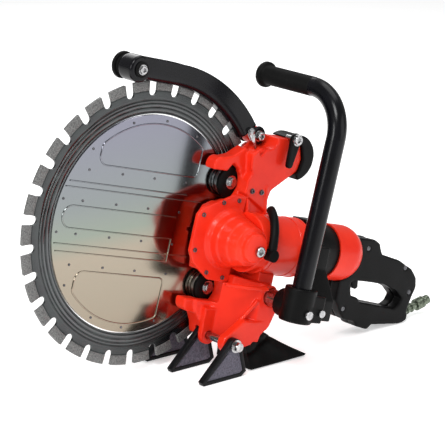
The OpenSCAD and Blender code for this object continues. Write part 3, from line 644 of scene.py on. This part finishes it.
def roller_hardware():
    """The rollers' bolts, with a head on each side."""
    bm = bmesh.new()
    near, far = span("roller_bolts")
    for joint in ("upper_roller_spin", "lower_roller_spin"):
        at = spot(joint)
        hex_head(bm, (at.x, near.y + 4, at.z), NEAR, 6.6, 4.4)
        hex_head(bm, (at.x, far.y - 4, at.z), -NEAR, 6.6, 4.4)
        turn(bm, (at.x, near.y + 4.2, at.z), -NEAR,
             [(0, 0), (0, 4.9), (far.y - near.y - 8.4, 4.9), (far.y - near.y - 8.4, 0)])
    return stand_in("roller_bolts_turned", bm, "roller_bolts", sharp=30)


def guard_hardware():
    """The bolt that the guard turns on."""
    bm = bmesh.new()
    at = spot("guard_swing")
    near, far = span("guard_bolt")
    socket_head(bm, (at.x, near.y + 6.8, at.z), NEAR, 5.6, 6.8)
    hex_head(bm, (at.x, far.y - 4.7, at.z), -NEAR, 7, 4.7)
    turn(bm, (at.x, near.y + 5, at.z), -NEAR,
         [(0, 0), (0, 3.9), (far.y - near.y - 9, 3.9), (far.y - near.y - 9, 0)])
    return stand_in("guard_bolt_turned", bm, "guard_bolt", sharp=30)


def cover_hardware():
    """The small screws round the gear cover."""
    bm = bmesh.new()
    face = -37
    for x, z in ((60, -18), (62, 26), (90, 43.5), (114, 48.5), (86, -44), (114, -48.5)):
        socket_head(bm, (x, face, z), NEAR, 2.8, 2.6)
    for x in (134, 150):
        socket_head(bm, (x, face + 1, 62), NEAR, 2.8, 2.5)
    return stand_in("cover_screws_turned", bm, "cover_screws", sharp=30)


def casting_hardware():
    """The larger bolts of the castings and the lever's bolt."""
    bm = bmesh.new()
    near, far = span("casting_bolts")
    socket_head(bm, (115, near.y + 6, -3), NEAR, 6.6, 5.5)
    socket_head(bm, (139.5, -41, -33), NEAR, 6.4, 7)
    lever = spot("lever_swing")
    socket_head(bm, (lever.x, -48.3, lever.z), NEAR, 6.0, 3.6)
    turn(bm, (lever.x, -48.3, lever.z), -NEAR, [(0, 0), (0, 3.9), (19, 3.9), (19, 0)])
    for x, z in ((182, 22), (182, -22), (188, 120), (160, 108)):
        hex_head(bm, (x, 20, z), -NEAR, 6, 4.9)
    return stand_in("casting_bolts_turned", bm, "casting_bolts", sharp=30)


for build in (claw_hardware, roller_hardware, guard_hardware, cover_hardware,
              casting_hardware):
    build()


# ---- claws ----

def outline_of(points):
    """The convex outline round a set of points, in order."""
    points = sorted(set((round(x, 2), round(z, 2)) for x, z in points))

    def chain(run):
        kept = []
        for p in run:
            while len(kept) > 1:
                a, b = kept[-2], kept[-1]
                if (b[0] - a[0]) * (p[1] - a[1]) > (b[1] - a[1]) * (p[0] - a[0]) + 0.01:
                    break
                kept.pop()
            kept.append(p)
        return kept[:-1]

    return chain(points) + chain(points[::-1])


def claw_piece(node):
    """A claw with a raised rim round a rough, sunken face on each side."""
    body = from_cad(node)
    lo, hi = span(node)
    line = outline_of([(v.co.x, v.co.z) for v in body.verts])
    body.free()
    bm = bmesh.new()
    ease = 0.5 if node == "middle_claw" else 0
    plate(bm, line, lo.y + ease, hi.y - ease)
    bm.normal_update()
    sides = [f for f in bm.faces if abs(f.normal.y) > 0.99]
    bmesh.ops.inset_individual(bm, faces=sides, thickness=4.2, use_even_offset=True)
    bmesh.ops.inset_individual(bm, faces=sides, thickness=0.8, depth=-1.3,
                               use_even_offset=True)
    for face in sides:
        face.material_index = 1
    return stand_in(node + "_cast", bm, node, extra=[CLAW_FACE], bevel=0.5)


for node in ("near_claw", "middle_claw", "far_claw"):
    claw_piece(node)


# ---- guard and handles ----

def guard_shell():
    """The blade guard: a deep pressed channel with rounded shoulders."""
    half = span("blade_guard")[1].y
    outer, inner = 198.0, 171.0
    nose = span("guard_grip")
    nose_x, nose_z = (nose[0].x + nose[1].x) / 2, (nose[0].z + nose[1].z) / 2
    pivot = spot("guard_swing")
    mid = (outer + inner) / 2
    deep = (outer - inner) / 2
    shoulder = 8.0
    outer_line = [(-deep, -half), (deep - shoulder, -half)]
    outer_line += [(deep - shoulder + shoulder * math.sin(a),
                    -half + shoulder * (1 - math.cos(a)))
                   for a in (0.4, 0.8, 1.2, 1.57)]
    outer_line += [(p[0], -p[1]) for p in reversed(outer_line)]
    wall = 3.0
    inner_line = [(p[0] - (wall if p[0] > 0 else 0), p[1] * (half - wall) / half)
                  for p in reversed(outer_line)]
    section = outer_line + inner_line
    end = math.degrees(math.atan2(pivot.z, pivot.x)) + 4
    path = [(x, 0, z) for x, z in reversed(arc(0, 0, mid, end, 90, 40))]
    path = [(nose_x + 4, 0, mid), (nose_x / 2, 0, mid)] + path
    bm = bmesh.new()
    sweep(bm, [Vector(p) for p in path], [(-a, b) for a, b in section], side=(0, 1, 0))
    turn(bm, (nose_x, -half, nose_z), (0, 1, 0),
         [(0, 0), (0, 13), (1, 15), (3, 16), (2 * half - 3, 16), (2 * half - 1, 15),
          (2 * half, 13), (2 * half, 0)], n=56)
    for s in (-1, 1):
        turn(bm, (pivot.x, s * half, pivot.z), (0, -s, 0),
             [(0, 0), (0, 11), (0.8, 12), (wall, 12), (wall, 0)], n=56)
    return stand_in("blade_guard_shell", bm, "blade_guard", voxel=0.9, relax=5)


def knob():
    """The rubber grip on the guard's nose, with its end flange and near bolt."""
    lo, hi = span("guard_grip")
    half = span("blade_guard")[1].y
    x, z = (lo.x + hi.x) / 2, (lo.z + hi.z) / 2
    bm = bmesh.new()
    turn(bm, (x, half, z), (0, 1, 0),
         [(0, 0), (0, 12.5), (4, 12.3), (5.5, 13.2), (6.2, 15.6), (7.5, 16.4), (10, 16.4),
          (11.4, 15.4), (12, 12.5), (12, 7), (11.2, 6), (11.2, 0)], n=56)
    turn(bm, (x, -half, z), NEAR, [(0, 0), (0, 9.5), (1.6, 9.5), (2.4, 8.7), (2.4, 0)], n=40)
    stand_in("guard_knob", bm, "guard_grip", sharp=40)
    bolt = bmesh.new()
    socket_head(bolt, (x, -half - 2.3, z), NEAR, 5.0, 3.6)
    make("guard_knob_bolt", bolt, ["guard_grip"], [BOLT], "bolt_steel", sharp=30)


def front_grip_piece():
    """The rubber sleeve of the front handle, with a rounded flange at its end."""
    lo, hi = span("front_grip")
    x, z = (lo.x + hi.x) / 2, (lo.z + hi.z) / 2
    long = hi.y - lo.y
    r = 12.2
    profile = [(0, 0), (0, 9), (0, r - 0.6), (0.8, r)]
    profile += [(long - 10, r), (long - 8.6, r + 1.0), (long - 7.6, 15.2), (long - 6, 16.2),
                (long - 2.4, 16.3), (long - 0.6, 15.4), (long, 13), (long, 7),
                (long - 0.8, 6), (long - 0.8, 0)]
    bm = bmesh.new()
    turn(bm, (x, lo.y, z), (0, 1, 0), profile, n=56)
    return stand_in("front_grip_sleeve", bm, "front_grip", sharp=50)


def lock_piece():
    """The trigger's lock, drawn a little smaller than its CAD node."""
    bm = from_cad("trigger_lock")
    middle = sum(span("trigger_lock"), Vector()) / 2
    bmesh.ops.scale(bm, vec=(0.96, 0.86, 0.96), space=Matrix.Translation(-middle),
                    verts=bm.verts)
    return stand_in("trigger_lock_moulded", bm, "trigger_lock", bevel=1.2, segments=3)


guard_shell()
knob()
front_grip_piece()
for node in ("rear_handle_near", "rear_handle_far"):
    stand_in(node + "_moulded", from_cad(node), node, voxel=1.3, relax=12)
stand_in("handle_clamp_cast", from_cad("handle_clamp"), "handle_clamp", voxel=1.0, relax=6)
stand_in("tension_cap_moulded", from_cad("tension_cap"), "tension_cap", voxel=1.0, relax=10)
stand_in("motor_body_cast", from_cad("motor_body"), "motor_body", bevel=1.0)
stand_in("handle_stay_bent", from_cad("handle_stay"), "handle_stay", bevel=1.8, segments=3)
stand_in("tension_lever_moulded", from_cad("tension_lever"), "tension_lever", bevel=1.4,
         segments=3)
stand_in("latch_blade", from_cad("guard_latch"), "guard_latch", bevel=0.5)
stand_in("trigger_moulded", from_cad("trigger"), "trigger", bevel=1.2, segments=3)
lock_piece()
for node in ("near_roller_arms", "far_roller_arms", "upper_near_roller", "lower_near_roller",
             "upper_far_roller", "lower_far_roller", "handle_screws", "clamp_bolts",
             "claw_pins", "latch_pin", "disc_rivets"):
    stand_in(node + "_turned", from_cad(node), node, bevel=0.35)


# ---- hose coupler ----

def coupler_pieces():
    """The stepped quick coupler and its knurled sleeve."""
    axis = Vector(TO_SAW.to_3x3() @ Vector(JOINTS["sleeve_pull"]["axis"])).normalized()
    mount = [m for m in frame["record"]["mounts"] if m["name"] == "hose_coupler_tip"][0]
    start = TO_SAW @ Vector(mount["pos_m"]) - axis * 55
    bm = bmesh.new()
    turn(bm, start, axis,
         [(-6, 0), (-6, 5), (4, 5), (4, 7.9, "hex"), (11, 7.9, "hex"), (12, 6.8), (12, 5),
          (15, 5), (15.5, 6.2), (17.5, 6.2), (18, 5), (23.5, 5), (24, 6.4), (26, 6.4),
          (26.5, 4.95), (51, 4.95), (52, 5.6),
          (52.6, 6.2), (57.4, 6.2), (58, 5.4), (58, 3.4), (54, 3.2), (54, 0)], n=48)
    stand_in("hose_coupler_turned", bm, "hose_coupler", sharp=30)
    sleeve = bmesh.new()
    count = 40
    profile = [(34, 7.2), (34.6, 8), (36.5, 8), (37, 7.5), (38, 8), (39, 7.5), (40, 8),
               (41, 7.5), (42, 8), (43, 7.5), (44, 8), (45, 7.5), (45.5, 8), (47.4, 8),
               (48, 7.2), (48, 5.1), (34, 5.1), (34, 7.2)]
    turn(sleeve, start, axis, profile, n=count)
    bmesh.ops.remove_doubles(sleeve, verts=sleeve.verts, dist=0.001)
    stand_in("coupler_sleeve_knurled", sleeve, "coupler_sleeve", sharp=25)


coupler_pieces()


# ---- splash guard ----

def splash_sheet():
    """A rubber skirt that hangs in creased folds from the casting to the floor."""
    def floor_at(x):
        """Height of the floor in the saw frame, which is tilted against it."""
        return (-BLADE.z / MM - x * EX.z) / EZ.z
    top = [(150, 4, -112), (150, -30, -110), (151, -56, -110), (166, -60, -110),
           (182, -56, -110), (184, -30, -110), (184, 4, -110)]
    low = [(162, -11, 0), (160, -44, 0), (158, -79, 0), (200, -79.5, 0), (245, -79, 0),
           (238, -50, 0), (230, -12, 0)]
    low = [(x, y, floor_at(x) + 0.4) for x, y, _ in low]

    def along(points, t):
        """The point at a share of the way along a line of points."""
        t *= len(points) - 1
        i = min(int(t), len(points) - 2)
        return Vector(points[i]).lerp(Vector(points[i + 1]), t - i)

    bm = bmesh.new()
    cols, rows = 96, 22
    sag_depth, fold_depth, fold_rate = 5, 1.6, 30
    crease_depth, crease_width = 3.4, 0.06
    grid = []
    for j in range(rows + 1):
        v = j / rows
        row = []
        for i in range(cols + 1):
            u = i / cols
            a, b = along(top, u), along(low, u)
            p = a.lerp(b, v)
            fold = math.sin(u * fold_rate) * fold_depth * math.sin(math.pi * v)
            off_crease = v - 0.45 - 0.2 * math.sin(u * 7)
            crease = crease_depth * math.exp(-(off_crease / crease_width) ** 2)
            centre = Vector((185, -35, p.z))
            inward = centre - p
            inward.z = 0
            sag = sag_depth * math.sin(math.pi * v)
            p += inward.normalized() * (sag + fold + crease)
            row.append(bm.verts.new(p))
        grid.append(row)
    for a, b in zip(grid, grid[1:]):
        for i in range(cols):
            bm.faces.new((a[i], a[i + 1], b[i + 1], b[i]))
    thick = 2.4
    bmesh.ops.recalc_face_normals(bm, faces=bm.faces)
    bmesh.ops.solidify(bm, geom=bm.faces[:], thickness=thick)
    plate(bm, fillet([(150, -119), (184, -119), (184, -106), (150, -106)], 3), -59, 5)
    return stand_in("splash_skirt", bm, "splash_guard", sharp=60)


splash_sheet()


# ---- stage ----

def light(name, at, size, power, color=(1, 1, 1)):
    """A square soft light that faces the saw; its place is in the saw frame."""
    data = bpy.data.lights.new(name, "AREA")
    data.size = size
    data.energy = power
    data.color = color
    lamp = bpy.data.objects.new(name, data)
    lamp.location = SAW @ Vector(at)
    aim = (SAW @ Vector((100, 0, 0))) - lamp.location
    lamp.rotation_euler = aim.to_track_quat("-Z", "Y").to_euler()
    bpy.context.scene.collection.objects.link(lamp)


def stage():
    """The white floor, the surroundings and the lights."""
    bm = bmesh.new()
    bmesh.ops.create_grid(bm, x_segments=1, y_segments=1, size=9)
    mesh = bpy.data.meshes.new("floor")
    bm.to_mesh(mesh)
    bm.free()
    floor = bpy.data.objects.new("floor", mesh)
    floor.location.z = -0.0005
    bpy.context.scene.collection.objects.link(floor)
    material, tree, shader = new_tree("floor_white")
    shader.inputs["Base Color"].default_value = (0.93, 0.93, 0.93, 1)
    shader.inputs["Emission Color"].default_value = (1, 1, 1, 1)
    shader.inputs["Emission Strength"].default_value = 0.45
    shader.inputs["Roughness"].default_value = 0.9
    shader.inputs["Specular IOR Level"].default_value = 0.1
    mesh.materials.append(material)
    world = bpy.data.worlds.new("studio")
    bpy.context.scene.world = world
    world.use_nodes = True
    background = world.node_tree.nodes["Background"]
    background.inputs["Color"].default_value = (1, 1, 1, 1)
    background.inputs["Strength"].default_value = 0.36
    light("key", (-1500, -900, 1700), 0.8, 34)
    light("fill", (900, -1900, 900), 1.4, 9)
    light("top", (200, 100, 2300), 1.6, 18)
    light("side", (-1700, -330, 260), 0.5, 9)
    light("back", (500, 1800, 1200), 1.2, 14)


def camera():
    """The photograph's view: 2.4 m from the blade, before and beside the saw."""
    eye = Vector((-1561.6, -1800.9, 281.8))
    forward = Vector((0.68075, 0.72453, -0.10787)).normalized()
    up = Vector((-0.08686, 0.22607, 0.97023))
    right = forward.cross(up).normalized()
    up = right.cross(forward)
    turn_to = Matrix((right, up, -forward)).transposed()
    saw_turn = Matrix((EX, EY, EZ)).transposed()
    data = bpy.data.cameras.new("view")
    data.lens = 161.8
    data.sensor_width = 36
    data.clip_end = 30
    viewer = bpy.data.objects.new("view", data)
    viewer.matrix_world = Matrix.Translation(SAW @ eye) @ (saw_turn @ turn_to).to_4x4()
    bpy.context.scene.collection.objects.link(viewer)
    bpy.context.scene.camera = viewer


stage()
camera()
bpy.context.scene.view_settings.view_transform = "Standard"

bpy.context.view_layer.update()
